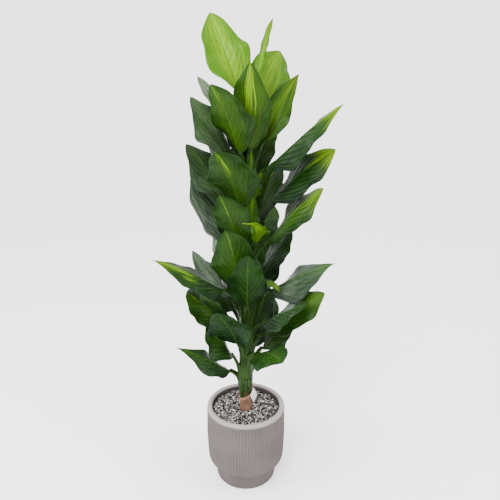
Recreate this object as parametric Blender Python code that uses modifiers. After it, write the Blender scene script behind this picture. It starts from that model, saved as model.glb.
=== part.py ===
"""An artificial dumb cane: broad striped leaves on one cane, standing in a ribbed planter of gravel.

Metres, +Z up. The origin is the middle of the planter's flat underside, and -Y is the front.
"""

import math

import bmesh
import bpy
from mathutils import Matrix, Vector

# Clearance between pieces that touch
GAP = 0.0003

# Planter: a turned tub on a set-in foot
LIP_D = 0.300
PLANTER_H = 0.301
WALL = 0.0205
LIP_ROUND = 0.010
BELLY_D = 0.304
CORNER_D = 0.266
CORNER_Z = 0.064
CORNER_ROUND = 0.030
FOOT_TOP_D = 0.237
FOOT_D = 0.232
FLOOR = 0.022
FLOOR_D = 0.190
SHOULDER_D = 0.200
SHOULDER_Z = 0.070
BARREL_Z = 0.094
PLANTER_SIDES = 96

# What fills the planter
FILL_TOP = 0.262
GRAVEL_TOP = 0.279
BED_SIDES = 48

# Cane: wrapped at its foot, thickest above the wrap, then an even taper to the tip
CANE_TIP = 1.450
CANE_LEAN = 0.016
CANE_FOOT_R = 0.0200
CANE_NECK_Z = 0.352
CANE_SWELL_R = 0.0245
CANE_SWELL_Z = 0.395
CANE_TIP_R = 0.0090
CANE_SIDES = 24

# Sleeve of brown wrap round the foot of the cane, its band, the loose end and the blank tag
SLEEVE_T = 0.0032
SLEEVE_TOP = 0.350
SLEEVE_SLANT = 0.010
BAND_W = 0.008
BAND_T = 0.0020
FLAP_W = 0.011
FLAP_H = 0.025
FLAP_HEADING = 35.0
TAG_W = 0.035
TAG_H = 0.055
TAG_T = 0.0010

# Leaves: a flat stalk that runs into a broad blade
LEAF_T = 0.0044
STALK_HALF_W = 0.0065
TIP_HALF_W = 0.0015
STALK_START = 4.0
STALK_STATIONS = 3
BLADE_STATIONS = 9
LEAF_COLUMNS = 5
STEPS_PER_STATION = 6
EDGE_RIPPLE = 0.008
RIPPLE_TURNS = 1.5
BLADE_BASE_POWER = 0.55

# One line for each leaf, from the top of the cane down, the last two filling its back: the height
# where its stalk leaves the cane, the heading round the cane (0 front, 90 right), the lean from
# upright at the blade's base, how much further the blade arches over, the stalk's and the blade's
# length, the blade's width, its roll and turn, the twist of its tip, the fold of its halves (up is
# +, down is -), and the power of the taper to its tip (0.8 plain, more is drawn out).
LEAF_FIELDS = ("height", "heading", "lean", "arch", "stalk", "length", "width",
               "roll", "turn", "twist", "fold", "point")
LEAVES = (
    (1.335, -134, 28, 0, 0.12, 0.294, 0.155, -36, 0, 10, 12, 0.8),
    (1.315, 95, 8, 10, 0.12, 0.240, 0.075, 0, 0, 60, 20, 1.1),
    (1.270, 148, 30, 20, 0.12, 0.270, 0.160, 22, 0, 25, 12, 0.8),
    (1.185, -122, 33, 10, 0.12, 0.260, 0.070, -10, 0, -20, 12, 0.8),
    (1.150, 86, 21, 16, 0.12, 0.265, 0.100, 105, 0, 0, 10, 1.0),
    (1.155, 3, 9, 12, 0.11, 0.270, 0.135, -26, 0, 0, 12, 0.8),
    (1.148, -47, 22, 20, 0.11, 0.240, 0.145, 18, 0, 0, 18, 0.8),
    (1.100, 68, 47, 10, 0.12, 0.320, 0.140, 36, 0, 10, -40, 1.2),
    (1.100, -178, 22, 14, 0.12, 0.270, 0.140, 0, 0, 0, 12, 0.8),
    (1.090, -92, 26, 16, 0.12, 0.270, 0.160, -35, 0, 0, -10, 0.8),
    (1.065, 12, 8, 10, 0.08, 0.120, 0.045, 20, 0, 0, 12, 0.8),
    (1.050, 158, 26, 16, 0.12, 0.270, 0.140, 0, 0, 0, 12, 0.8),
    (1.030, -125, 32, 6, 0.12, 0.270, 0.070, -20, 0, 0, 12, 0.8),
    (1.010, 46, 12, 16, 0.09, 0.100, 0.060, 0, 0, 0, 12, 0.8),
    (0.980, -32, 28, 26, 0.11, 0.230, 0.160, 20, 0, 0, 12, 0.8),
    (0.980, 86, 46, 14, 0.12, 0.290, 0.145, 40, 0, 20, -20, 0.8),
    (0.970, -176, 28, 16, 0.12, 0.270, 0.140, 0, 0, 0, 12, 0.8),
    (0.940, -98, 29, 16, 0.12, 0.280, 0.160, -35, 0, 0, -10, 0.8),
    (0.900, 17, 8, 12, 0.08, 0.140, 0.060, 0, 0, 0, 12, 0.8),
    (0.890, 146, 30, 16, 0.12, 0.270, 0.140, 0, 0, 0, 12, 0.8),
    (0.853, 25, 46, 36, 0.12, 0.192, 0.060, 0, -95, 0, 12, 0.8),
    (0.830, 75, 38, 16, 0.12, 0.285, 0.150, 30, 0, 10, -14, 0.8),
    (0.830, 175, 32, 18, 0.12, 0.270, 0.140, 0, 0, 0, 12, 0.8),
    (0.815, -36, 20, 22, 0.12, 0.225, 0.130, 25, 0, 0, 12, 0.8),
    (0.815, -95, 26, 14, 0.12, 0.280, 0.160, -35, 0, 0, -10, 0.8),
    (0.715, -148, 46, 6, 0.12, 0.220, 0.110, -30, 0, 0, -14, 0.8),
    (0.690, 118, 32, 12, 0.12, 0.220, 0.130, 0, 0, 0, -14, 0.8),
    (0.675, 81, 60, 12, 0.12, 0.255, 0.165, 42, 0, 10, -40, 1.4),
    (0.614, -124, 46, 8, 0.12, 0.240, 0.110, -10, 0, 0, -30, 0.8),
    (0.675, -82, 60, 10, 0.12, 0.280, 0.130, -35, 0, 0, -30, 1.4),
    (0.635, -34, 12, 16, 0.12, 0.272, 0.165, 32, 0, 0, 12, 0.8),
    (0.640, -168, 36, 20, 0.12, 0.260, 0.130, 0, 0, 0, 12, 0.8),
    (0.622, 57, 12, 145, 0.12, 0.142, 0.045, 30, 0, 0, 12, 0.8),
    (0.620, 150, 40, 20, 0.12, 0.270, 0.140, 0, 0, 0, 12, 0.8),
    (0.580, 2, 18, 10, 0.14, 0.235, 0.130, 0, 0, 0, 12, 0.8),
    (0.556, 56, 52, 14, 0.12, 0.200, 0.150, 20, 0, 0, -14, 0.8),
    (0.560, -45, 42, 10, 0.12, 0.200, 0.105, 5, 0, 0, -14, 0.8),
    (0.540, -175, 42, 22, 0.12, 0.270, 0.140, 0, 0, 0, 12, 0.8),
    (0.525, -83, 42, 14, 0.12, 0.200, 0.155, -25, 0, 0, -14, 0.5),
    (0.500, 78, 46, 14, 0.12, 0.270, 0.150, 30, 0, 20, -14, 0.8),
    (0.480, -32, 31, 20, 0.10, 0.220, 0.150, 25, 0, 0, -14, 0.8),
    (0.460, 155, 38, 22, 0.11, 0.220, 0.130, 0, 0, 0, 12, 0.8),
    (0.475, 37, 60, 55, 0.08, 0.150, 0.150, 20, 0, 0, -14, 0.8),
    (0.440, 98, 40, 24, 0.10, 0.170, 0.120, 30, 0, 0, -14, 0.8),
    (0.420, -74, 28, 14, 0.10, 0.172, 0.172, -40, 0, 0, -14, 0.7),
    (0.410, 155, 48, 24, 0.11, 0.250, 0.130, 0, 0, 0, 12, 0.8),
    (0.384, -88, 59, 12, 0.07, 0.232, 0.112, -40, 0, -10, -35, 1.7),
    (0.790, 161, 50, 10, 0.12, 0.270, 0.140, 0, 0, 0, -12, 0.8),
    (0.560, -143, 59, 10, 0.12, 0.270, 0.140, 0, 0, 0, -12, 0.8),
)


def clear_scene():
    for old in list(bpy.data.objects):
        bpy.data.objects.remove(old, do_unlink=True)


def make_material(name, colour, roughness, metallic=0.0):
    material = bpy.data.materials.new(name)
    material.use_nodes = True
    shader = material.node_tree.nodes["Principled BSDF"]
    shader.inputs["Base Color"].default_value = (*colour, 1.0)
    shader.inputs["Roughness"].default_value = roughness
    shader.inputs["Metallic"].default_value = metallic
    return material


def add_object(name, data, material, collection):
    piece = bpy.data.objects.new(name, data)
    data.materials.append(material)
    collection.objects.link(piece)
    return piece


def mesh_from(bm, name):
    bmesh.ops.recalc_face_normals(bm, faces=bm.faces)
    mesh = bpy.data.meshes.new(name)
    bm.to_mesh(mesh)
    bm.free()
    return mesh


def arc(centre_r, centre_z, radius, start_deg, end_deg, steps):
    """Points of a profile's round stretch, from one angle to another, both ends included."""
    points = []
    for step in range(steps + 1):
        angle = math.radians(start_deg + (end_deg - start_deg) * step / steps)
        points.append((centre_r + radius * math.cos(angle), centre_z + radius * math.sin(angle)))
    return points


def turned(name, profile, sides, material, collection, closed=False):
    """A profile of (radius, height) points, top to bottom on its outer side, swept round Z."""
    bm = bmesh.new()
    points = [bm.verts.new((radius, 0.0, height)) for radius, height in profile]
    for first, second in zip(points, points[1:]):
        bm.edges.new((first, second))
    if closed:
        bm.edges.new((points[-1], points[0]))
    mesh = bpy.data.meshes.new(name)
    bm.to_mesh(mesh)
    bm.free()
    piece = add_object(name, mesh, material, collection)
    screw = piece.modifiers.new("Turn", "SCREW")
    screw.axis = "Z"
    screw.steps = sides
    screw.render_steps = sides
    screw.use_merge_vertices = True
    screw.merge_threshold = 0.00002
    screw.use_smooth_shade = True
    return piece


def bowl_profile(inset):
    """The planter's inside, from the middle of its floor up to the straight wall, drawn in."""
    return [(0.0, FLOOR + inset), (FLOOR_D / 2 - inset, FLOOR + inset),
            (SHOULDER_D / 2 - inset, SHOULDER_Z + inset),
            (LIP_D / 2 - WALL - inset, BARREL_Z + inset)]


def planter_profile():
    """From the middle of the inner floor, up the wall, over the lip and down to the underside."""
    lip_r = LIP_D / 2
    inner_r = lip_r - WALL
    crest = LIP_ROUND
    profile = bowl_profile(0.0)
    profile += arc(inner_r + crest, PLANTER_H - crest, crest, 180, 90, 3)
    profile += arc(lip_r - crest, PLANTER_H - crest, crest, 75, 0, 3)
    belly = BELLY_D / 2
    profile += [(lip_r + 0.5 * (belly - lip_r), 0.250), (belly, 0.195)]
    profile.append((belly - 0.0015, 0.140))
    corner_r = CORNER_D / 2
    profile += arc(corner_r - 0.015, CORNER_Z + CORNER_ROUND, CORNER_ROUND, 0, -52, 4)
    profile.append((corner_r - 0.002, CORNER_Z))
    profile += [(FOOT_TOP_D / 2, CORNER_Z - 0.001), (FOOT_TOP_D / 2, CORNER_Z - 0.006)]
    profile += [(FOOT_D / 2, 0.003), (FOOT_D / 2 - 0.002, 0.0), (0.0, 0.0)]
    return profile


def cane_axis(height):
    """Point of the cane's axis at a height: above the wrap it leans a little to the right."""
    share = (height - CANE_NECK_Z) / (CANE_TIP - CANE_NECK_Z)
    return Vector((CANE_LEAN * max(share, 0.0), 0.0, height))


def cane_radius(height):
    if height < CANE_NECK_Z:
        return CANE_FOOT_R
    if height < CANE_SWELL_Z:
        share = (height - CANE_NECK_Z) / (CANE_SWELL_Z - CANE_NECK_Z)
        return CANE_FOOT_R + (CANE_SWELL_R - CANE_FOOT_R) * share
    share = (height - CANE_SWELL_Z) / (CANE_TIP - CANE_SWELL_Z)
    return CANE_SWELL_R + (CANE_TIP_R - CANE_SWELL_R) * share


def build_cane(material, collection):
    curve = bpy.data.curves.new("cane", "CURVE")
    curve.dimensions = "3D"
    curve.bevel_depth = 1.0
    curve.bevel_resolution = (CANE_SIDES - 4) // 2
    curve.use_fill_caps = True
    heights = (FILL_TOP + GAP, GRAVEL_TOP, CANE_NECK_Z, CANE_SWELL_Z, 0.60, 0.90, 1.20, CANE_TIP)
    spline = curve.splines.new("POLY")
    spline.points.add(len(heights) - 1)
    for point, height in zip(spline.points, heights):
        point.co = (*cane_axis(height), 1.0)
        point.radius = cane_radius(height)
    return add_object("cane", curve, material, collection)


def outline(share, point):
    """Half width of the blade at a share of its length, as a share of its widest."""
    widest = BLADE_BASE_POWER / (BLADE_BASE_POWER + point)
    peak = widest ** BLADE_BASE_POWER * (1.0 - widest) ** point
    return share ** BLADE_BASE_POWER * (1.0 - share) ** point / peak


def leaf_midline(leaf):
    """Stations from the stalk's foot to the tip: share, point, across and upper-side directions.

    The share is below 0 on the stalk, and runs from 0 at the blade's base to 1 at its tip.
    """
    heading = math.radians(leaf["heading"])
    lean = math.radians(leaf["lean"])
    start = math.radians(STALK_START)
    outward = Vector((math.sin(heading), -math.cos(heading), 0.0))
    foot = cane_radius(leaf["height"]) + GAP + LEAF_T / 2
    point = cane_axis(leaf["height"]) + outward * foot
    stalk_steps = STALK_STATIONS * STEPS_PER_STATION
    blade_steps = BLADE_STATIONS * STEPS_PER_STATION
    stations = []
    for step in range(stalk_steps + blade_steps + 1):
        if step < stalk_steps:
            along_stalk = step / stalk_steps
            share = along_stalk - 1.0
            ease = along_stalk * along_stalk * (3.0 - 2.0 * along_stalk)
            angle = start + (lean - start) * ease
            bearing, roll = heading, 0.0
            length = leaf["stalk"] / stalk_steps
        else:
            share = (step - stalk_steps) / blade_steps
            angle = lean + math.radians(leaf["arch"]) * share ** 1.6
            bearing = heading + math.radians(leaf["turn"]) * share ** 1.3
            roll = math.radians(leaf["roll"]) * min(1.0, 2.0 * share)
            roll += math.radians(leaf["twist"]) * share * share
            length = leaf["length"] / blade_steps
        out = Vector((math.sin(bearing), -math.cos(bearing), 0.0))
        along = out * math.sin(angle) + Vector((0.0, 0.0, math.cos(angle)))
        across = Vector((math.cos(bearing), math.sin(bearing), 0.0))
        turn = Matrix.Rotation(roll, 3, along)
        if step % STEPS_PER_STATION == 0:
            stations.append((share, point.copy(), turn @ across, turn @ along.cross(across)))
        point = point + along * length
    return stations


def leaf_point(leaf, station, side, phase):
    """A point of the leaf's middle surface; side runs from -1 to 1 across it."""
    share, point, across, upper = station
    half = leaf["width"] / 2
    if share <= 0.0:
        return point + across * (side * STALK_HALF_W)
    width = max(half * outline(min(share, 0.999), leaf["point"]), TIP_HALF_W)
    if share < 0.5:
        width = max(width, STALK_HALF_W * math.sqrt(1.0 - share))
    fold = math.radians(leaf["fold"]) * (1.0 - 0.35 * share)
    wave = math.sin(2.0 * math.pi * RIPPLE_TURNS * share + phase + (0.0 if side > 0 else 2.0))
    rise = abs(side) * width * math.sin(fold)
    rise += EDGE_RIPPLE * wave * side * side * min(1.0, width / half)
    return point + across * (side * width * math.cos(fold)) + upper * rise


def build_leaf(number, leaf, material, collection):
    """One leaf: a grid laid along the midline, thickened equally to both sides."""
    stations = leaf_midline(leaf)
    rows = len(stations)
    bm = bmesh.new()
    grid = bmesh.ops.create_grid(bm, x_segments=LEAF_COLUMNS - 1, y_segments=rows - 1, size=1.0)
    for vert in grid["verts"]:
        row = round((vert.co.y + 1.0) / 2.0 * (rows - 1))
        vert.co = leaf_point(leaf, stations[row], vert.co.x, 2.4 * number)
    name = f"leaf_{number:02d}"
    mesh = bpy.data.meshes.new(name)
    bm.to_mesh(mesh)
    bm.free()
    mesh.shade_smooth()
    piece = add_object(name, mesh, material, collection)
    thicken = piece.modifiers.new("Thickness", "SOLIDIFY")
    thicken.thickness = LEAF_T
    thicken.offset = 0.0
    return piece


def slanted_shell(name, radius, low, high, slant_low, slant_high, thickness, material, collection):
    """An open tube round the cane whose ends slope up to the right, thickened outwards."""
    bm = bmesh.new()
    bmesh.ops.create_cone(bm, cap_ends=False, segments=CANE_SIDES, radius1=radius,
                          radius2=radius, depth=1.0)
    for vert in bm.verts:
        slope = vert.co.x / radius
        vert.co.z = high + slant_high * slope if vert.co.z > 0 else low + slant_low * slope
    mesh = mesh_from(bm, name)
    mesh.shade_smooth()
    piece = add_object(name, mesh, material, collection)
    thicken = piece.modifiers.new("Thickness", "SOLIDIFY")
    thicken.thickness = thickness
    thicken.offset = 1.0
    return piece


def build_card(name, size, place, tilt, material, collection):
    """A thin flat card, its width along X before it is tilted (X, Y, Z degrees)."""
    bm = bmesh.new()
    bmesh.ops.create_cube(bm, size=1.0)
    bmesh.ops.scale(bm, vec=size, verts=bm.verts)
    piece = add_object(name, mesh_from(bm, name), material, collection)
    piece.location = place
    piece.rotation_euler = [math.radians(angle) for angle in tilt]
    return piece


def main():
    clear_scene()
    plant = bpy.data.collections.new("dumb_cane")
    bpy.context.scene.collection.children.link(plant)

    clay = make_material("fibre_clay", (0.36, 0.33, 0.32), 0.85)
    bed = make_material("bed", (0.05, 0.045, 0.04), 0.9)
    stones = make_material("gravel", (0.34, 0.32, 0.30), 0.7)
    stem_green = make_material("stem_green", (0.06, 0.15, 0.03), 0.45)
    leaf_green = make_material("leaf_green", (0.04, 0.14, 0.02), 0.35)
    leaf_lime = make_material("leaf_lime", (0.25, 0.42, 0.04), 0.4)
    brown = make_material("wrap_brown", (0.27, 0.14, 0.08), 0.8)
    salmon = make_material("band_salmon", (0.45, 0.20, 0.14), 0.6)
    card = make_material("tag_card", (0.85, 0.85, 0.84), 0.5)

    turned("planter", planter_profile(), PLANTER_SIDES, clay, plant)
    inset = 0.0004
    bed_r = LIP_D / 2 - WALL - inset
    turned("filling", [(0.0, FILL_TOP), (bed_r, FILL_TOP)] + bowl_profile(inset)[::-1],
           BED_SIDES, bed, plant)
    hole = CANE_FOOT_R + 0.0005
    turned("gravel", [(hole, GRAVEL_TOP), (bed_r, GRAVEL_TOP), (bed_r, FILL_TOP + GAP),
                      (hole, FILL_TOP + GAP)], BED_SIDES, stones, plant, closed=True)

    build_cane(stem_green, plant)
    sleeve_r = (CANE_FOOT_R + GAP) / math.cos(math.pi / CANE_SIDES)
    slanted_shell("foot_sleeve", sleeve_r, GRAVEL_TOP + GAP, SLEEVE_TOP - SLEEVE_SLANT,
                  0.0, SLEEVE_SLANT, SLEEVE_T, brown, plant)
    band_r = (sleeve_r + SLEEVE_T + GAP) / math.cos(math.pi / CANE_SIDES)
    band_top = SLEEVE_TOP - SLEEVE_SLANT
    slanted_shell("sleeve_band", band_r, band_top - BAND_W, band_top,
                  SLEEVE_SLANT, SLEEVE_SLANT, BAND_T, salmon, plant)
    band_out = band_r + BAND_T
    flap_angle = math.radians(FLAP_HEADING)
    flap_r = band_out - BAND_T + FLAP_W / 2
    build_card("sleeve_flap", (FLAP_W, BAND_T, FLAP_H),
               (flap_r * math.cos(flap_angle), flap_r * math.sin(flap_angle),
                SLEEVE_TOP - 0.001 + FLAP_H / 2), (0, 0, FLAP_HEADING), salmon, plant)
    build_card("hang_tag", (TAG_W, TAG_T, TAG_H), (band_out + 0.0046, 0.0, SLEEVE_TOP - 0.016),
               (0, -32.5, 63), card, plant)

    lime_leaves = (1, 2, 3)
    for number, row in enumerate(LEAVES, start=1):
        leaf = dict(zip(LEAF_FIELDS, row))
        build_leaf(number, leaf, leaf_lime if number in lime_leaves else leaf_green, plant)


main()
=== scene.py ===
import math
import random

import bmesh
import bpy
from mathutils import Matrix, Vector, noise


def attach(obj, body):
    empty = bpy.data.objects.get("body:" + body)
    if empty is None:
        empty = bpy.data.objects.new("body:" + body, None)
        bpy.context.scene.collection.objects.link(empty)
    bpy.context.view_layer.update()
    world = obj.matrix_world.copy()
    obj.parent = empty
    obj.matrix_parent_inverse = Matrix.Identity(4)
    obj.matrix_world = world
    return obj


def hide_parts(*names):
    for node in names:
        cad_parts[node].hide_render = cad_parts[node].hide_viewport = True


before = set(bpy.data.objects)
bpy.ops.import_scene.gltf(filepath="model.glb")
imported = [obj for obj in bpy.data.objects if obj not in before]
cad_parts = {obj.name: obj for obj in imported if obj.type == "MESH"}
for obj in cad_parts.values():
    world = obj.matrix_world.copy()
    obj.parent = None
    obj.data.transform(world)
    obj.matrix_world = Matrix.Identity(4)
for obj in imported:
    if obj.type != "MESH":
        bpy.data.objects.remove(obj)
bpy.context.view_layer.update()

# ---- The camera: a standing viewer's eye height, straight in front of the plant, turned a
# ---- little down to take in the planter and a hair to the right.
camera_data = bpy.data.cameras.new("camera")
camera_data.sensor_width = 36.0
camera_data.lens = 32.86
camera = bpy.data.objects.new("camera", camera_data)
camera.location = (0.0, -1.561, 1.342)
camera.rotation_euler = (math.radians(90.0 - 15.21), 0.0, math.radians(-0.60))
bpy.context.scene.collection.objects.link(camera)
bpy.context.scene.camera = camera


# ---- The planter: a round tub of fibre clay cast in a mould, warm grey and matt. Its body and
# ---- its foot carry fine upright ribs, and the lip is smooth, with a painted highlight on its top.
class Socket:
    """One output in a material's node tree; arithmetic on it adds Math nodes."""

    def __init__(self, tree, output=None):
        self.tree = tree
        self.output = output

    def node(self, kind, settings=None, inputs=None, output=0):
        """Adds a node: first its settings, then the values or links of its sockets."""
        made = self.tree.nodes.new(kind)
        for name, value in (settings or {}).items():
            if name == "stops":
                ramp = made.color_ramp
                while len(ramp.elements) < len(value):
                    ramp.elements.new(0.5)
                for stop, (place, colour) in zip(ramp.elements, value):
                    stop.position = place
                    stop.color = (*colour, 1.0)
            elif name == "interpolation":
                made.color_ramp.interpolation = value
            else:
                setattr(made, name, value)
        for name, value in (inputs or {}).items():
            if isinstance(value, Socket):
                self.tree.links.new(value.output, made.inputs[name])
            else:
                made.inputs[name].default_value = value
        return Socket(self.tree, made.outputs[output])

    def maths(self, operation, *values):
        """A Math node; the values are numbers or other sockets."""
        return self.node("ShaderNodeMath", {"operation": operation}, dict(enumerate(values)))

    def __add__(self, other):
        return self.maths("ADD", self, other)

    def __radd__(self, other):
        return self.maths("ADD", other, self)

    def __sub__(self, other):
        return self.maths("SUBTRACT", self, other)

    def __rsub__(self, other):
        return self.maths("SUBTRACT", other, self)

    def __mul__(self, other):
        return self.maths("MULTIPLY", self, other)

    def __rmul__(self, other):
        return self.maths("MULTIPLY", other, self)

    def __pow__(self, other):
        return self.maths("POWER", self, other)

    def sine(self):
        return self.maths("SINE", self)

    def size(self):
        """How far the value is from 0."""
        return self.maths("ABSOLUTE", self)

    def between(self, low, high):
        """0 below low, 1 above high, smooth between them."""
        return self.node("ShaderNodeMapRange", {"interpolation_type": "SMOOTHSTEP"},
                         {"Value": self, "From Min": low, "From Max": high})

    def mixed(self, first, second):
        """The first colour where this is 0, the second where it is 1."""
        return self.node("ShaderNodeMix", {"data_type": "RGBA"},
                         {0: self, 6: first, 7: second}, output=2)


def rgb(red, green, blue):
    return (red, green, blue, 1.0)


def new_finish(name):
    """A material with its Principled shader, and a socket to grow its nodes from."""
    material = bpy.data.materials.new(name)
    material.use_nodes = True
    return material, Socket(material.node_tree)


def feed(material, bump=None, depth=0.001, **inputs):
    """Sets or links the shader's own sockets; bump is a height that feeds its normal."""
    tree = material.node_tree
    shader = tree.nodes["Principled BSDF"]
    if bump is not None:
        inputs["Normal"] = bump.node("ShaderNodeBump", None,
                                     {"Height": bump, "Distance": depth, "Strength": 1.0})
    for name, value in inputs.items():
        socket = shader.inputs[name.replace("_", " ")]
        if isinstance(value, Socket):
            tree.links.new(value.output, socket)
        else:
            socket.default_value = value


def place(name, bm, material, stands_for, slot, smooth=True):
    """Puts a finished mesh into the scene on the plant's one body."""
    mesh = bpy.data.meshes.new(name)
    bm.to_mesh(mesh)
    bm.free()
    if smooth:
        mesh.shade_smooth()
    piece = bpy.data.objects.new(name, mesh)
    mesh.materials.append(material)
    bpy.context.scene.collection.objects.link(piece)
    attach(piece, "root")
    if stands_for:
        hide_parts(*stands_for)
    return piece


clay, start = new_finish("fibre_clay")
spot = start.node("ShaderNodeTexCoord", output=3)
cloud = start.node("ShaderNodeTexNoise", None, {"Vector": spot, "Scale": 9.0, "Detail": 5.0})
grit = start.node("ShaderNodeTexNoise", None, {"Vector": spot, "Scale": 420.0, "Detail": 3.0})
height = spot.node("ShaderNodeSeparateXYZ", None, {0: spot}, output=2)
tone = cloud.between(0.30, 0.72).mixed(rgb(0.062, 0.053, 0.051), rgb(0.076, 0.065, 0.063))
# Painted highlight: the rounded top of the lip is painted paler, as if lit from above
lip_top_highlight = height.between(0.286, 0.297)
tone = lip_top_highlight.mixed(tone, rgb(0.205, 0.178, 0.176))
speck = grit.between(0.60, 0.72)
tone = (speck * 0.20).mixed(tone, rgb(0.130, 0.115, 0.112))
# Painted shade: the foot is painted darker towards the floor, as if in shade under the body
foot_shade = 1.0 - height.between(0.0, 0.05)
tone = (foot_shade * 0.20).mixed(tone, rgb(0.045, 0.037, 0.035))
# The wall inside the lip is in the dark: nearer the axis than the lip's inner edge, squared
side_x = spot.node("ShaderNodeSeparateXYZ", None, {0: spot}, output=0)
side_y = spot.node("ShaderNodeSeparateXYZ", None, {0: spot}, output=1)
inside = 1.0 - (side_x * side_x + side_y * side_y).between(0.01695, 0.01745)
inside = inside * height.between(0.08, 0.09)
tone = (inside * 0.75).mixed(tone, rgb(0.012, 0.010, 0.010))
feed(clay, bump=grit + cloud * 0.5, depth=0.0006, Base_Color=tone,
     Roughness=0.80 + grit * 0.14, Specular_IOR_Level=0.15)

RIBS = 84
STEPS_PER_RIB = 8
RIB_DEPTH = 0.0022
INNER_R = 0.1295


def round_stretch(centre_r, centre_z, radius, start_deg, end_deg, steps):
    """Points along an arc of the planter's section, as radius and height."""
    turns_to = [math.radians(start_deg + (end_deg - start_deg) * k / steps)
                for k in range(steps + 1)]
    return [(centre_r + radius * math.cos(angle), centre_z + radius * math.sin(angle))
            for angle in turns_to]


# Radius, height and how deep the ribs are cut there, from the inner floor over the lip and down
section = [(r, z, 0.0) for r, z in ((0.0, 0.022), (0.095, 0.022), (0.100, 0.070), (INNER_R, 0.094))]
section += [(r, z, 0.0) for r, z in round_stretch(INNER_R + 0.010, 0.291, 0.010, 180, 90, 8)]
section += [(r, z, 0.0) for r, z in round_stretch(0.140, 0.291, 0.010, 78, 0, 8)]
section += [(0.1500, 0.287, 0.0), (0.1500, 0.284, 0.6), (0.1502, 0.281, 1.0)]
section += [(0.1510, 0.250, 1.0), (0.1516, 0.220, 1.0), (0.1520, 0.195, 1.0), (0.1514, 0.165, 1.0),
            (0.1505, 0.140, 1.0), (0.1494, 0.115, 1.0)]
section += [(r, z, 1.0) for r, z in round_stretch(0.118, 0.094, 0.030, 0, -40, 7)]
section += [(r, z, 0.5) for r, z in round_stretch(0.118, 0.094, 0.030, -46, -58, 2)]
section += [(0.1315, 0.0655, 0.0), (0.1290, 0.0640, 0.0), (0.1200, 0.0632, 0.0),
            (0.1187, 0.0625, 0.4)]
section += [(0.1184, 0.058, 1.0), (0.1172, 0.030, 1.0), (0.1162, 0.006, 1.0), (0.1158, 0.003, 0.5),
            (0.1140, 0.0, 0.0), (0.0, 0.0, 0.0)]

bm = bmesh.new()
turns = RIBS * STEPS_PER_RIB
rings = []
for radius, height_z, cut in section:
    if radius == 0.0:
        rings.append([bm.verts.new((0.0, 0.0, height_z))])
        continue
    ring = []
    for step in range(turns):
        angle = 2.0 * math.pi * step / turns
        groove = abs(math.sin(math.pi * step / STEPS_PER_RIB)) ** 0.7
        r = radius - cut * RIB_DEPTH * (1.0 - groove)
        ring.append(bm.verts.new((r * math.cos(angle), r * math.sin(angle), height_z)))
    rings.append(ring)
for inner, outer in zip(rings, rings[1:]):
    for k in range(turns):
        a, b = inner[k % len(inner)], inner[(k + 1) % len(inner)]
        c, d = outer[(k + 1) % len(outer)], outer[k % len(outer)]
        bm.faces.new([v for i, v in enumerate((a, b, c, d)) if v not in (a, b, c, d)[:i]])
bmesh.ops.recalc_face_normals(bm, faces=bm.faces)
place("planter_ribbed", bm, clay, ["planter"], "planter_clay")


# ---- The gravel: grey, black and white chippings laid over the packing that holds the cane
# ---- upright, glued loosely so that gaps show between them; the packing is painted near-black as
# their shade.
# Painted shade: the packing is near-black so that the gaps between the chippings look shaded
packing_gap_shade, start = new_finish("packing_painted_gap_shade")
soil = start.node("ShaderNodeTexNoise", None, {"Scale": 160.0, "Detail": 4.0})
feed(packing_gap_shade, bump=soil, depth=0.002, Roughness=0.95, Specular_IOR_Level=0.1,
     Base_Color=soil.between(0.3, 0.7).mixed(rgb(0.003, 0.0025, 0.002), rgb(0.010, 0.009, 0.008)))
for node in ("filling", "gravel"):
    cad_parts[node].data.materials.clear()
    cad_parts[node].data.materials.append(packing_gap_shade)

chippings, start = new_finish("chippings")
each = start.node("ShaderNodeNewGeometry", output="Random Per Island")
stone_tones = ((0.00, (0.005, 0.0045, 0.004)), (0.26, (0.022, 0.020, 0.018)),
               (0.46, (0.070, 0.063, 0.058)), (0.64, (0.150, 0.136, 0.128)),
               (0.82, (0.300, 0.275, 0.262)), (0.93, (0.480, 0.450, 0.430)))
tone = each.node("ShaderNodeValToRGB", {"stops": stone_tones, "interpolation": "CONSTANT"},
                 {0: each})
mottle = start.node("ShaderNodeTexNoise", None, {"Scale": 300.0, "Detail": 4.0})
tone = (mottle.between(0.35, 0.75) * 0.3).mixed(tone, rgb(0.110, 0.100, 0.094))
feed(chippings, bump=mottle, depth=0.0005, Base_Color=tone, Roughness=0.62, Specular_IOR_Level=0.25)

GRAVEL_TOP = 0.279
STONES = 1750
STONE_HALF_SIZES = (0.0020, 0.0026, 0.0032, 0.0042)
GOLDEN_ANGLE = 2.39996
WRAP_CLEAR_R = 0.0245
chance = random.Random(11)
pebble = bmesh.new()
bmesh.ops.create_icosphere(pebble, subdivisions=1, radius=1.0)
bm = bmesh.new()
for stone in range(STONES):
    reach = math.sqrt((stone + 0.5) / STONES) * (INNER_R - 0.0045)
    angle = stone * GOLDEN_ANGLE + chance.uniform(-0.2, 0.2)
    half = chance.choice(STONE_HALF_SIZES) * chance.uniform(0.85, 1.15)
    if reach < WRAP_CLEAR_R + half:
        continue
    long, wide, flat = half * chance.uniform(1.0, 1.35), half, half * chance.uniform(0.55, 0.85)
    turn = Matrix.Rotation(chance.uniform(0.0, 6.28), 4, "Z") @ Matrix.Rotation(
        chance.uniform(-0.5, 0.5), 4, "X")
    lift = chance.uniform(0.0002, 0.0034)
    at = Matrix.Translation((reach * math.cos(angle), reach * math.sin(angle), GRAVEL_TOP + lift))
    body = at @ turn @ Matrix.Diagonal((long, wide, flat, 1.0))
    knock = Vector((stone * 1.7, stone * 0.9, 3.1))
    corners = {}
    for vert in pebble.verts:
        push = 1.0 + 0.32 * noise.noise(vert.co * 1.4 + knock)
        corners[vert] = bm.verts.new(body @ (vert.co * push))
    for face in pebble.faces:
        bm.faces.new([corners[vert] for vert in face.verts])
pebble.free()
place("gravel_chippings", bm, chippings, [], "gravel", smooth=False)


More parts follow.
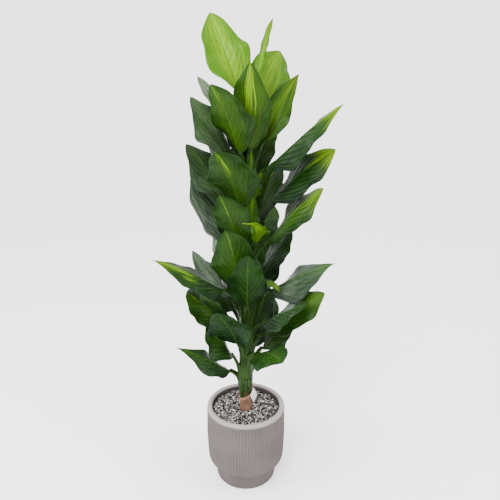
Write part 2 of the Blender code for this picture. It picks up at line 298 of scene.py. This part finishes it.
# ---- The cane: a green plastic stem over a rod, moulded with the upright ribs and slanting
# ---- edges that old leaf sheaths leave, thickest just above its wrap.
CANE_TIP = 1.450
CANE_NECK_Z = 0.352
CANE_SWELL_Z = 0.395


def cane_axis(z):
    """The middle of the cane at a height: upright in the wrap, leaning to the right above it."""
    share = (z - CANE_NECK_Z) / (CANE_TIP - CANE_NECK_Z)
    return Vector((0.016 * max(share, 0.0), 0.0, z))


def cane_radius(z):
    """Narrow under the wrap, swelling just above it, then tapering to the tip."""
    if z < CANE_NECK_Z:
        return 0.0200
    if z < CANE_SWELL_Z:
        return 0.0200 + 0.0045 * (z - CANE_NECK_Z) / (CANE_SWELL_Z - CANE_NECK_Z)
    return 0.0245 - 0.0155 * (z - CANE_SWELL_Z) / (CANE_TIP - CANE_SWELL_Z)


cane_skin, start = new_finish("cane_skin")
spot = start.node("ShaderNodeTexCoord", output=3)
stretched = spot.node("ShaderNodeVectorMath", {"operation": "MULTIPLY"},
                      {0: spot, 1: (1.0, 1.0, 0.030)})
fibre = start.node("ShaderNodeTexNoise", None,
                   {"Vector": stretched, "Scale": 170.0, "Detail": 4.0, "Roughness": 0.6})
patch = start.node("ShaderNodeTexNoise", None, {"Vector": spot, "Scale": 14.0, "Detail": 3.0})
height = spot.node("ShaderNodeSeparateXYZ", None, {0: spot}, output=2)
tone = fibre.between(0.42, 0.62).mixed(rgb(0.0010, 0.0055, 0.0010), rgb(0.026, 0.070, 0.0065))
tone = (patch.between(0.45, 0.75) * 0.30).mixed(tone, rgb(0.034, 0.068, 0.0060))
old = 1.0 - height.between(0.350, 0.378)
tone = (old * fibre.between(0.25, 0.6)).mixed(tone, rgb(0.026, 0.017, 0.005))
feed(cane_skin, bump=fibre, depth=0.0012, Base_Color=tone, Roughness=0.40 + fibre * 0.2,
     Specular_IOR_Level=0.15)

CANE_SIDES = 72
CANE_RINGS = 300
CANE_FOOT_Z = 0.2623
SHEATH_EDGES_PER_M = 13.0
bm = bmesh.new()
rings = []
for ring_no in range(CANE_RINGS + 1):
    z = CANE_FOOT_Z + (CANE_TIP - CANE_FOOT_Z) * ring_no / CANE_RINGS
    centre = cane_axis(z)
    base = cane_radius(z)
    ring = []
    for side in range(CANE_SIDES):
        angle = 2.0 * math.pi * side / CANE_SIDES
        ribs = 0.030 * math.sin(9.0 * angle + 5.0 * z) + 0.018 * math.sin(14.0 * angle - 9.0 * z)
        edge_no = z * SHEATH_EDGES_PER_M
        slanted = (edge_no + 0.5 * math.sin(angle + 19.0 * math.floor(edge_no))) % 1.0
        step_in = 0.045 * (1.0 - slanted)
        sunk = 0.06 if z < CANE_NECK_Z else 0.0
        r = base * (1.0 - 0.03 - sunk + ribs * (0.3 if z < CANE_NECK_Z else 1.0) - step_in * 0.6)
        ring.append(bm.verts.new(centre + Vector((r * math.cos(angle), r * math.sin(angle), 0.0))))
    rings.append(ring)
for lower, upper in zip(rings, rings[1:]):
    for k in range(CANE_SIDES):
        n = (k + 1) % CANE_SIDES
        bm.faces.new((lower[k], lower[n], upper[n], upper[k]))
bm.faces.new(rings[0][::-1])
bm.faces.new(rings[-1])
place("cane_ribbed", bm, cane_skin, ["cane"], "cane_green")


# ---- The wrap: brown crepe wound round the foot of the cane, closed by a salmon band that
# ---- slopes up to the right, with its loose end behind and a blank card tag hung on it.
crepe, start = new_finish("brown_crepe")
spot = start.node("ShaderNodeTexCoord", output=3)
crinkle = start.node("ShaderNodeTexNoise", None, {
    "Vector": spot.node("ShaderNodeVectorMath", {"operation": "MULTIPLY"},
                        {0: spot, 1: (1.0, 1.0, 0.35)}),
    "Scale": 190.0, "Detail": 6.0, "Roughness": 0.65})
stain = start.node("ShaderNodeTexNoise", None, {"Vector": spot, "Scale": 42.0, "Detail": 3.0})
tone = stain.between(0.3, 0.7).mixed(rgb(0.050, 0.020, 0.008), rgb(0.115, 0.055, 0.026))
tone = (crinkle.between(0.45, 0.7) * 0.35).mixed(tone, rgb(0.150, 0.085, 0.048))
feed(crepe, bump=crinkle, depth=0.0016, Base_Color=tone, Roughness=0.86)

salmon, start = new_finish("salmon_band")
worn = start.node("ShaderNodeTexNoise", None, {"Scale": 60.0, "Detail": 4.0})
tone = worn.between(0.35, 0.7).mixed(rgb(0.130, 0.045, 0.024), rgb(0.220, 0.105, 0.068))
feed(salmon, bump=worn, depth=0.0006, Base_Color=tone, Roughness=0.55)

SLEEVE_FOOT = 0.2795
SLEEVE_TOP = 0.350
SLANT = 0.010
BAND_HIGH = SLEEVE_TOP - SLANT
BAND_LOW = BAND_HIGH - 0.008


def wound(name, radius, thick, low, high, slant_low, slope, material, node, slot_name, crumple):
    """A wound strip round the cane's foot: a shell whose ends slope up to the right."""
    sides, levels = 72, 22
    shell = bmesh.new()
    skins = []
    for outer in (0.0, thick):
        rows = []
        for level in range(levels + 1):
            row = []
            for side in range(sides):
                angle = 2.0 * math.pi * side / sides
                tilt = math.cos(angle)
                bottom, top = low + slant_low * tilt, high + slope * tilt
                z = bottom + (top - bottom) * level / levels
                lump = noise.noise(Vector((math.cos(angle) * 3.0, math.sin(angle) * 3.0, z * 90.0)))
                r = radius + outer + (crumple * lump if outer else 0.0)
                row.append(shell.verts.new((r * math.cos(angle), r * math.sin(angle), z)))
            rows.append(row)
        skins.append(rows)
    inner, skin = skins
    for k in range(sides):
        n = (k + 1) % sides
        for level in range(levels):
            over = level + 1
            shell.faces.new((skin[level][k], skin[level][n], skin[over][n], skin[over][k]))
            shell.faces.new((inner[level][n], inner[level][k], inner[over][k], inner[over][n]))
        shell.faces.new((skin[-1][k], skin[-1][n], inner[-1][n], inner[-1][k]))
        shell.faces.new((inner[0][k], inner[0][n], skin[0][n], skin[0][k]))
    place(name, shell, material, [node], slot_name)


wound("crepe_wrap", 0.0205, 0.0030, SLEEVE_FOOT, BAND_HIGH, 0.0, SLANT, crepe,
      "foot_sleeve", "wrap_brown", 0.0010)
wound("salmon_band", 0.0242, 0.0018, BAND_LOW, BAND_HIGH, SLANT, SLANT, salmon,
      "sleeve_band", "band_salmon", 0.0004)
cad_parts["sleeve_flap"].data.materials.clear()
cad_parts["sleeve_flap"].data.materials.append(salmon)

card, start = new_finish("blank_card")
pulp = start.node("ShaderNodeTexNoise", None, {"Scale": 300.0, "Detail": 3.0})
feed(card, bump=pulp, depth=0.0002, Roughness=0.45,
     Base_Color=pulp.between(0.3, 0.7).mixed(rgb(0.50, 0.49, 0.50), rgb(0.60, 0.59, 0.61)))
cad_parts["hang_tag"].data.materials.clear()
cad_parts["hang_tag"].data.materials.append(card)


# ---- The leaves: printed and coated cloth on a wired stalk. Each winged stalk wraps the cane
# ---- at its foot and opens into a broad blade, quilted between side veins that sweep to the
# ---- tip: lime at the top of the plant, dark green with a yellow flame lower down.
LEAF_T = 0.0016
SHEATH_STEPS = 10
STALK_STEPS = 18
BLADE_STEPS = 70
ACROSS = 24
SHEATH_LENGTH = 0.060
SHEATH_LAP = 0.0004
STALK_WING = 0.0105
STALK_FOOT_FLARE = 0.0050
STALK_CURL = 0.011
STALK_SINK = 0.0045
BLADE_FOOT_HALF_W = 0.0095
BLADE_END = 0.9995
LEAST_HALF_W = 0.0008
EDGE_WOBBLE = 0.075
BASE_POWER = 0.55
SIDE_VEINS = 8.0
VEIN_SWEEP = 0.48
VEIN_SWEEP_POWER = 1.35
VEIN_STAGGER = 0.055
WAVE_RISE = 0.008
FRILL_RISE = 0.0030
QUILT_RISE = 0.0030
MIDRIB_SINK = 0.0026


def blade_outline(share, point):
    """Half width at a share of the blade's length, 1 where the blade is widest."""
    whole = BASE_POWER + point
    peak = (BASE_POWER / whole) ** BASE_POWER * (point / whole) ** point
    return share ** BASE_POWER * (1.0 - share) ** point / peak


def midline(leaf):
    """Share, point, across and upper-side directions from the sheath's foot to the tip."""
    heading, lean = math.radians(leaf["heading"]), math.radians(leaf["lean"])
    start_lean = math.radians(4.0)
    outward = Vector((math.sin(heading), -math.cos(heading), 0.0))
    across = Vector((math.cos(heading), math.sin(heading), 0.0))
    foot_r = cane_radius(leaf["height"]) + 0.0025
    point = cane_axis(leaf["height"]) + outward * foot_r
    stations = []
    for step in range(STALK_STEPS + BLADE_STEPS + 1):
        if step < STALK_STEPS:
            along_stalk = step / STALK_STEPS
            share = along_stalk - 1.0
            ease = along_stalk * along_stalk * (3.0 - 2.0 * along_stalk)
            angle = start_lean + (lean - start_lean) * ease
            bearing, roll, length = heading, 0.0, leaf["stalk"] / STALK_STEPS
        else:
            share = (step - STALK_STEPS) / BLADE_STEPS
            angle = lean + math.radians(leaf["arch"]) * share ** 1.6
            bearing = heading + math.radians(leaf["turn"]) * share ** 1.3
            roll = math.radians(leaf["roll"]) * min(1.0, 2.0 * share)
            roll += math.radians(leaf["twist"]) * share * share
            length = leaf["length"] / BLADE_STEPS
        out = Vector((math.sin(bearing), -math.cos(bearing), 0.0))
        along = out * math.sin(angle) + Vector((0.0, 0.0, math.cos(angle)))
        side_way = Vector((math.cos(bearing), math.sin(bearing), 0.0))
        turn = Matrix.Rotation(roll, 3, along)
        stations.append((share, point.copy(), turn @ side_way, turn @ along.cross(side_way)))
        point = point + along * length
    return stations, outward, across


def sheath_row(leaf, number, outward, across, step):
    """The part of the stalk that wraps the cane below where it comes free."""
    down = 1.0 - step / SHEATH_STEPS
    z = leaf["height"] - SHEATH_LENGTH * down
    radius = cane_radius(max(z, 0.30)) + 0.0008 + SHEATH_LAP * (number % 4)
    spread = math.radians(36.0 + 26.0 * down)
    row = []
    for k in range(ACROSS + 1):
        side = 2.0 * k / ACROSS - 1.0
        swing = side * spread
        lift = 0.0018 * (1.0 - down) * (1.0 - side * side)
        row.append(cane_axis(z) + (outward * math.cos(swing) + across * math.sin(swing))
                   * (radius + lift))
    return row


def stalk_row(station):
    """A channel whose wings are widest at the cane and fold up towards it."""
    share, point, across, upper = station
    wing = STALK_WING + STALK_FOOT_FLARE * (-share) ** 1.5
    row = []
    for k in range(ACROSS + 1):
        side = 2.0 * k / ACROSS - 1.0
        fold_up = (side * wing) ** 2 / STALK_CURL
        keel = 0.0010 * math.cos(9.0 * side) * (1.0 - abs(side))
        row.append(point + across * (side * wing) + upper * (fold_up - STALK_SINK + keel))
    return row


def blade_row(leaf, station, phase):
    """Half widths that differ from side to side, a folded, rippled and quilted surface."""
    share, point, across, upper = station
    half = leaf["width"] / 2
    fold = math.radians(leaf["fold"]) * (1.0 - 0.35 * share)
    row = []
    for k in range(ACROSS + 1):
        side = 2.0 * k / ACROSS - 1.0
        off = abs(side)
        lag = 0.0 if side > 0 else 2.0
        width = max(half * blade_outline(min(share, BLADE_END), leaf["point"]), LEAST_HALF_W)
        wobble = math.sin(2.0 * math.pi * 2.3 * share + phase * 1.3 + 2.1 * lag)
        width *= 1.0 + EDGE_WOBBLE * wobble
        if share < 0.5:
            width = max(width, BLADE_FOOT_HALF_W * math.sqrt(1.0 - share))
        body = min(1.0, width / half)
        wave = math.sin(2.0 * math.pi * 1.5 * share + phase + lag)
        frill = math.sin(2.0 * math.pi * 4.3 * share + 1.7 * phase + lag * 1.6)
        sweep = share - VEIN_SWEEP * off ** VEIN_SWEEP_POWER + (VEIN_STAGGER if side > 0 else 0.0)
        quilt = math.sin(math.pi * SIDE_VEINS * sweep) ** 2 * off * (1.0 - off * off)
        rise = off * width * math.sin(fold)
        rise += WAVE_RISE * wave * off * off * body
        rise += FRILL_RISE * frill * off ** 3 * body
        rise += QUILT_RISE * quilt * body
        rise -= MIDRIB_SINK * (1.0 - share) * math.exp(-((side / 0.085) ** 2))
        row.append(point + across * (side * width * math.cos(fold)) + upper * rise)
    return row


def leaf_mesh(leaf, number, look):
    """A fine grid along the midline; its vertices keep where they lie on the leaf."""
    stations, outward, across = midline(leaf)
    rows = [sheath_row(leaf, number, outward, across, step) for step in range(SHEATH_STEPS)]
    shares = [-1.0 - 0.4 * (1.0 - step / SHEATH_STEPS) for step in range(SHEATH_STEPS)]
    for station in stations:
        in_blade = station[0] > 0.0
        rows.append(blade_row(leaf, station, 2.4 * number) if in_blade else stalk_row(station))
        shares.append(station[0])
    made = bmesh.new()
    facts = dict(look, seed=number * 0.618)
    layers = {name: made.verts.layers.float.new(name)
              for name in ("along", "across", "half", *facts)}
    grid = []
    for share, row in zip(shares, rows):
        line = []
        width = (row[-1] - row[0]).length / 2
        for k, place_at in enumerate(row):
            vert = made.verts.new(place_at)
            vert[layers["along"]] = share
            vert[layers["across"]] = 2.0 * k / ACROSS - 1.0
            vert[layers["half"]] = width
            for name, value in facts.items():
                vert[layers[name]] = value
            line.append(vert)
        grid.append(line)
    for lower, upper in zip(grid, grid[1:]):
        for k in range(ACROSS):
            made.faces.new((lower[k], lower[k + 1], upper[k + 1], upper[k]))
    return made


leaf_cloth, start = new_finish("leaf_cloth")
along, across, half, splash, lime, tip_light, pale, seed = (
    start.node("ShaderNodeAttribute", {"attribute_name": name}, None, output=2)
    for name in ("along", "across", "half", "splash", "lime", "tip_light", "pale", "seed"))


def grain(first, second, scale, detail=3.0):
    """Noise laid out in the leaf's own directions, different on each leaf."""
    where = start.node("ShaderNodeCombineXYZ", None, {0: first, 1: second, 2: seed * 7.0})
    return start.node("ShaderNodeTexNoise", None,
                      {"Vector": where, "Scale": scale, "Detail": detail, "Roughness": 0.6})


off_mid = across.size()
reach = off_mid * half
blade = along.between(0.0, 0.06)
cloud = grain(across, along * 2.0, 1.3)
fleck = grain(across * 4.0, along * 9.0, 3.0)
# Side veins leave the midrib and bow towards the tip; their spacing wanders a little
right = across.between(-0.02, 0.02)
bow = off_mid ** VEIN_SWEEP_POWER * VEIN_SWEEP
sweep = along - bow + right * VEIN_STAGGER + (cloud - 0.5) * 0.05
gap = (sweep * SIDE_VEINS).maths("PINGPONG", sweep * SIDE_VEINS, 0.5)
vein = (1.0 - gap.between(0.01, 0.08)) * (1.0 - off_mid.between(0.62, 0.97))
vein = vein * fleck.between(0.30, 0.60)
hair = (sweep * 440.0).sine()
midrib = (1.0 - reach.between(0.0006, 0.0024)) * (1.0 - along.between(0.72, 1.0))
# The flame's streaks run nearly lengthwise from the midrib and close in on the tip
streak = grain(across * 9.0, (along - off_mid * 0.30) * 1.6, 1.0, 4.0)
spread = splash * (0.06 + along * 0.44 + (streak - 0.5) * 2.4) - off_mid + vein * 0.05
fine = grain(across * 26.0, (along - off_mid * 0.30) * 1.4, 1.0, 2.0).between(0.36, 0.56)
far_out = (along + splash * 0.22 + (streak - 0.5) * 0.5).between(0.58, 0.86)
flame = spread.between(0.00, 0.14) * (0.30 + fine * 0.70) * far_out
tip_mask = tip_light * (along + (streak - 0.5) * 0.9 - off_mid * 0.06).between(0.66, 0.88)
dark = (cloud + along * 0.35 - off_mid * 0.15).between(0.30, 0.85).mixed(
    rgb(0.0009, 0.0048, 0.0020), rgb(0.0054, 0.0225, 0.0028))
# Partly painted light: the lime is the leaves' own colour, made brighter to stand in for light
# shining through the top leaves
lime_and_backlight_glow = (cloud * 0.5 + streak * 1.1 - off_mid * 0.5).between(0.30, 0.85).mixed(
    rgb(0.034, 0.100, 0.0001), rgb(0.104, 0.208, 0.0001))
tone = lime.mixed(dark, lime_and_backlight_glow)
line = lime.mixed(rgb(0.030, 0.074, 0.0060), rgb(0.026, 0.080, 0.0004))
tone = (vein * (0.62 + lime * 0.20)).mixed(tone, line)
tone = (flame * blade * 0.92).mixed(tone, rgb(0.112, 0.220, 0.0003))
tone = (tip_mask * blade * 0.95).mixed(tone, rgb(0.082, 0.156, 0.0004))
rib_line = lime.mixed(rgb(0.038, 0.090, 0.0080), rgb(0.020, 0.060, 0.0004))
tone = (midrib * 0.48).mixed(tone, rib_line)
# Streaked with grey where a leaf shows its pale back, and with painted sheen where it would catch
# the light
pale_back_and_sheen_streaks = grain(across * 7.0, along * 2.2, 1.2, 4.0).between(0.42, 0.60)
# Part painted reflection: the pale grey mixed in here also stands for glints of light on the leaves
tone = (pale * blade * (0.35 + pale_back_and_sheen_streaks * 0.65)).mixed(tone, rgb(0.150, 0.175, 0.145))
stripe = grain(across * 5.0, along * 0.9, 2.0).between(0.38, 0.66)
stalk_tone = stripe.mixed(rgb(0.0025, 0.0100, 0.0018), rgb(0.019, 0.048, 0.0060))
tone = (1.0 - blade).mixed(tone, stalk_tone)
relief = gap * 0.9 - vein * 0.30 - midrib * 0.8 + hair * 0.03 + streak * 0.5
feed(leaf_cloth, bump=relief, depth=0.0012, Base_Color=tone,
     Roughness=0.22 + fleck * 0.14, Specular_IOR_Level=0.07)

LEAF_FIELDS = ("height", "heading", "lean", "arch", "stalk", "length", "width",
               "roll", "turn", "twist", "fold", "point")
# One line for each leaf, down the cane, the last two at its back, then its print: how far the
# flame spreads, how light the whole leaf is, how light its tip is, and how much pale back and
# painted sheen show
LEAVES = (
    ((1.335, -134, 28, 0, 0.12, 0.294, 0.155, -36, 0, 10, 12, 0.8), (0.55, 1.00, 0.25, 0.00)),
    ((1.315, 95, 8, 10, 0.12, 0.240, 0.075, 0, 0, 60, 20, 1.1), (0.60, 0.70, 0.90, 0.00)),
    ((1.270, 148, 30, 20, 0.12, 0.270, 0.160, 22, 0, 25, 12, 0.8), (0.25, 0.62, 0.10, 0.00)),
    ((1.185, -122, 33, 10, 0.12, 0.260, 0.070, -10, 0, -20, 12, 0.8), (0.50, 0.15, 0.20, 0.75)),
    ((1.150, 86, 21, 16, 0.12, 0.265, 0.100, 105, 0, 0, 10, 1.0), (0.22, 0.22, 0.35, 0.00)),
    ((1.155, 3, 9, 12, 0.11, 0.270, 0.135, -26, 0, 0, 12, 0.8), (0.80, 0.19, 0.00, 0.00)),
    ((1.148, -47, 22, 20, 0.11, 0.240, 0.145, 18, 0, 0, 18, 0.8), (0.40, 0.13, 0.00, 0.00)),
    ((1.100, 68, 47, 10, 0.12, 0.320, 0.140, 36, 0, 10, -40, 1.2), (0.15, 0.01, 1.00, 0.00)),
    ((1.100, -178, 22, 14, 0.12, 0.270, 0.140, 0, 0, 0, 12, 0.8), (0.30, 0.06, 0.10, 0.00)),
    ((1.090, -92, 26, 16, 0.12, 0.270, 0.160, -35, 0, 0, -10, 0.8), (0.15, 0.06, 0.00, 0.12)),
    ((1.065, 12, 8, 10, 0.08, 0.120, 0.045, 20, 0, 0, 12, 0.8), (0.30, 0.12, 0.00, 0.00)),
    ((1.050, 158, 26, 16, 0.12, 0.270, 0.140, 0, 0, 0, 12, 0.8), (0.30, 0.12, 0.10, 0.00)),
    ((1.030, -125, 32, 6, 0.12, 0.270, 0.070, -20, 0, 0, 12, 0.8), (0.20, 0.04, 0.00, 0.55)),
    ((1.010, 46, 12, 16, 0.09, 0.100, 0.060, 0, 0, 0, 12, 0.8), (0.30, 0.12, 0.20, 0.00)),
    ((0.980, -32, 28, 26, 0.11, 0.230, 0.160, 20, 0, 0, 12, 0.8), (0.42, 0.07, 0.00, 0.00)),
    ((0.980, 86, 46, 14, 0.12, 0.290, 0.145, 40, 0, 20, -20, 0.8), (0.25, 0.01, 1.00, 0.00)),
    ((0.970, -176, 28, 16, 0.12, 0.270, 0.140, 0, 0, 0, 12, 0.8), (0.30, 0.06, 0.10, 0.00)),
    ((0.940, -98, 29, 16, 0.12, 0.280, 0.160, -35, 0, 0, -10, 0.8), (0.15, 0.04, 0.00, 0.08)),
    ((0.900, 17, 8, 12, 0.08, 0.140, 0.060, 0, 0, 0, 12, 0.8), (0.30, 0.14, 0.10, 0.00)),
    ((0.890, 146, 30, 16, 0.12, 0.270, 0.140, 0, 0, 0, 12, 0.8), (0.20, 0.06, 0.10, 0.00)),
    ((0.853, 25, 46, 36, 0.12, 0.192, 0.060, 0, -95, 0, 12, 0.8), (1.00, 0.40, 0.90, 0.00)),
    ((0.830, 75, 38, 16, 0.12, 0.285, 0.150, 30, 0, 10, -14, 0.8), (0.35, 0.09, 0.50, 0.00)),
    ((0.830, 175, 32, 18, 0.12, 0.270, 0.140, 0, 0, 0, 12, 0.8), (0.30, 0.06, 0.10, 0.00)),
    ((0.815, -36, 20, 22, 0.12, 0.225, 0.130, 25, 0, 0, 12, 0.8), (0.22, 0.08, 0.00, 0.00)),
    ((0.815, -95, 26, 14, 0.12, 0.280, 0.160, -35, 0, 0, -10, 0.8), (0.10, 0.01, 0.00, 0.30)),
    ((0.715, -148, 46, 6, 0.12, 0.220, 0.110, -30, 0, 0, -14, 0.8), (0.20, 0.10, 0.10, 0.60)),
    ((0.690, 118, 32, 12, 0.12, 0.220, 0.130, 0, 0, 0, -14, 0.8), (0.10, 0.01, 0.00, 0.00)),
    ((0.675, 81, 60, 12, 0.12, 0.255, 0.165, 42, 0, 10, -40, 1.4), (0.00, 0.00, 0.12, 0.12)),
    ((0.614, -124, 46, 8, 0.12, 0.240, 0.110, -10, 0, 0, -30, 0.8), (0.15, 0.03, 0.00, 0.30)),
    ((0.675, -82, 60, 10, 0.12, 0.280, 0.130, -35, 0, 0, -30, 1.4), (0.85, 0.02, 0.60, 0.00)),
    ((0.635, -34, 12, 16, 0.12, 0.272, 0.165, 32, 0, 0, 12, 0.8), (0.12, 0.07, 0.00, 0.00)),
    ((0.640, -168, 36, 20, 0.12, 0.260, 0.130, 0, 0, 0, 12, 0.8), (0.20, 0.05, 0.10, 0.00)),
    ((0.622, 57, 12, 145, 0.12, 0.142, 0.045, 30, 0, 0, 12, 0.8), (0.30, 0.14, 0.20, 0.00)),
    ((0.620, 150, 40, 20, 0.12, 0.270, 0.140, 0, 0, 0, 12, 0.8), (0.10, 0.02, 0.00, 0.00)),
    ((0.580, 2, 18, 10, 0.14, 0.235, 0.130, 0, 0, 0, 12, 0.8), (0.00, 0.02, 0.00, 0.00)),
    ((0.556, 56, 52, 14, 0.12, 0.200, 0.150, 20, 0, 0, -14, 0.8), (0.00, 0.00, 0.00, 0.05)),
    ((0.560, -45, 42, 10, 0.12, 0.200, 0.105, 5, 0, 0, -14, 0.8), (0.15, 0.02, 0.00, 0.00)),
    ((0.540, -175, 42, 22, 0.12, 0.270, 0.140, 0, 0, 0, 12, 0.8), (0.20, 0.04, 0.10, 0.00)),
    ((0.525, -83, 42, 14, 0.12, 0.200, 0.155, -25, 0, 0, -14, 0.5), (0.25, 0.09, 0.00, 0.00)),
    ((0.500, 78, 46, 14, 0.12, 0.270, 0.150, 30, 0, 20, -14, 0.8), (0.08, 0.09, 0.15, 0.00)),
    ((0.480, -32, 31, 20, 0.10, 0.220, 0.150, 25, 0, 0, -14, 0.8), (0.00, 0.00, 0.00, 0.00)),
    ((0.460, 155, 38, 22, 0.11, 0.220, 0.130, 0, 0, 0, 12, 0.8), (0.20, 0.03, 0.00, 0.00)),
    ((0.475, 37, 60, 55, 0.08, 0.150, 0.150, 20, 0, 0, -14, 0.8), (0.05, 0.03, 0.00, 0.00)),
    ((0.440, 98, 40, 24, 0.10, 0.170, 0.120, 30, 0, 0, -14, 0.8), (0.05, 0.05, 0.00, 0.00)),
    ((0.420, -74, 28, 14, 0.10, 0.172, 0.172, -40, 0, 0, -14, 0.7), (0.15, 0.05, 0.00, 0.00)),
    ((0.410, 155, 48, 24, 0.11, 0.250, 0.130, 0, 0, 0, 12, 0.8), (0.20, 0.03, 0.00, 0.00)),
    ((0.384, -88, 59, 12, 0.07, 0.232, 0.112, -40, 0, -10, -35, 1.7), (0.05, 0.02, 0.10, 0.00)),
    ((0.790, 161, 50, 10, 0.12, 0.270, 0.140, 0, 0, 0, -12, 0.8), (0.20, 0.04, 0.10, 0.00)),
    ((0.560, -143, 59, 10, 0.12, 0.270, 0.140, 0, 0, 0, -12, 0.8), (0.20, 0.03, 0.10, 0.00)),
)
for number, (sizes, print_of) in enumerate(LEAVES, start=1):
    leaf = dict(zip(LEAF_FIELDS, sizes))
    look = dict(zip(("splash", "lime", "tip_light", "pale"), print_of))
    slot = "leaf_lime" if number < 4 else "leaf_green"
    piece = place(f"cloth_leaf_{number:02d}", leaf_mesh(leaf, number, look), leaf_cloth,
                  [f"leaf_{number:02d}"], slot)
    cloth = piece.modifiers.new("Cloth", "SOLIDIFY")
    cloth.thickness = LEAF_T
    cloth.offset = 0.0


# ---- The studio: a pale floor that runs off to a pale surround, a broad soft light overhead
# ---- from the front left, and a weaker one from the right.
bm = bmesh.new()
bmesh.ops.create_circle(bm, cap_ends=True, segments=96, radius=14.0)
floor_mesh = bpy.data.meshes.new("studio_floor")
bm.to_mesh(floor_mesh)
bm.free()
floor = bpy.data.objects.new("studio_floor", floor_mesh)
bpy.context.scene.collection.objects.link(floor)
plain_white, start = new_finish("pale_floor")
feed(plain_white, Base_Color=rgb(0.78, 0.78, 0.78), Roughness=0.9)
floor_mesh.materials.append(plain_white)

world = bpy.data.worlds.new("studio")
bpy.context.scene.world = world
world.use_nodes = True
world.node_tree.nodes["Background"].inputs["Color"].default_value = rgb(1.0, 1.0, 1.0)
world.node_tree.nodes["Background"].inputs["Strength"].default_value = 3.0
sun_light = bpy.data.lights.new("key", "SUN")
sun_light.energy = 4.2
sun_light.angle = math.radians(30.0)
sun = bpy.data.objects.new("key", sun_light)
sun.rotation_euler = (math.radians(40.0), math.radians(-22.0), 0.0)
bpy.context.scene.collection.objects.link(sun)
for name, place_at, width, power in (("left", (-2.4, -0.9, 1.9), 0.9, 120.0),
                                     ("right", (2.2, -1.0, 2.3), 0.9, 75.0)):
    lamp = bpy.data.lights.new(name, "AREA")
    lamp.shape = "SQUARE"
    lamp.size = width
    lamp.energy = power
    light = bpy.data.objects.new(name, lamp)
    light.location = place_at
    aim = Vector((0.0, 0.0, 1.0)) - light.location
    light.rotation_euler = aim.to_track_quat("-Z", "Y").to_euler()
    bpy.context.scene.collection.objects.link(light)
